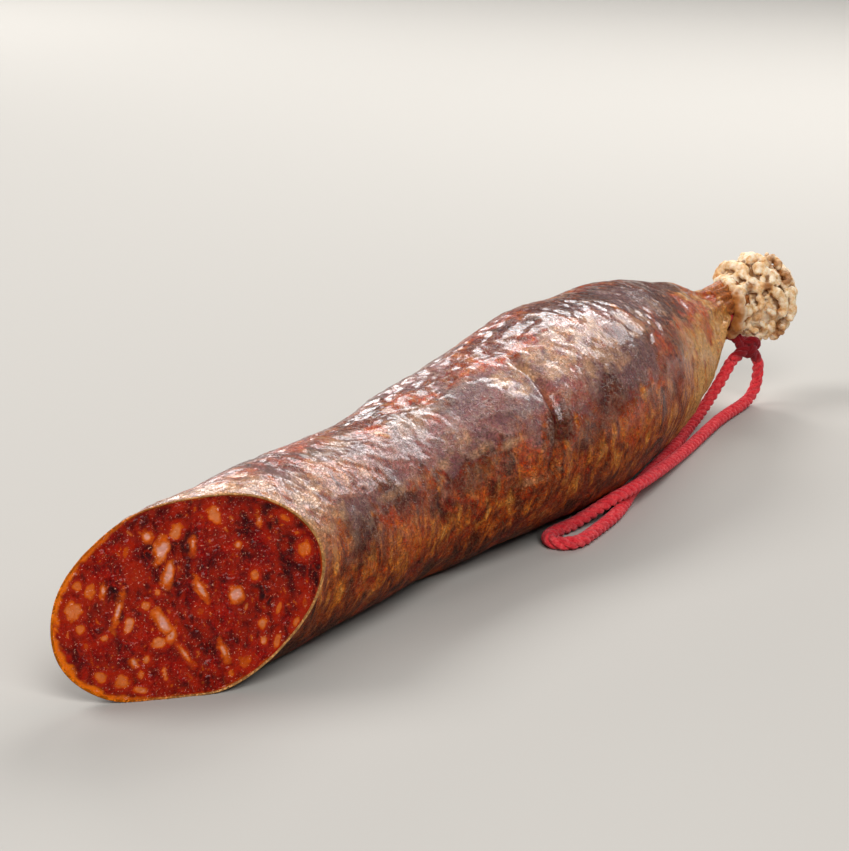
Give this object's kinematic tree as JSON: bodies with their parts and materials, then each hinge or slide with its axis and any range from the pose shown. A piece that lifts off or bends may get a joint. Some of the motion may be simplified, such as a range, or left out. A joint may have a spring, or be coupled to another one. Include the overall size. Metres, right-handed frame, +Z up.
{
  "type": "cured sausage",
  "caption": "Half of a long cured sausage, cut across on the slant at one end, with its casing gathered and tied at the other and a loop of string to hang it by.",
  "frame": {"origin": "centre of the bounding box of the sausage and its tie, at the level of the surface that it lies on", "axes": "+X along the sausage from the cut to the tied end, +Z up"},
  "size_m": [0.3307, 0.0598, 0.0557],
  "materials": {
    "cured_meat_in_casing": "natural casing, dry and slightly glossy, dark red-brown above and golden brown on its sides, with coarse red meat and white fat on the cut",
    "cotton_string": "red cotton string of three strands, matt"
  },
  "bodies": {
    "root": {"sausage": "cured_meat_in_casing", "string_tie": "cotton_string", "string_loop": "cotton_string"}
  },
  "joints": []
}
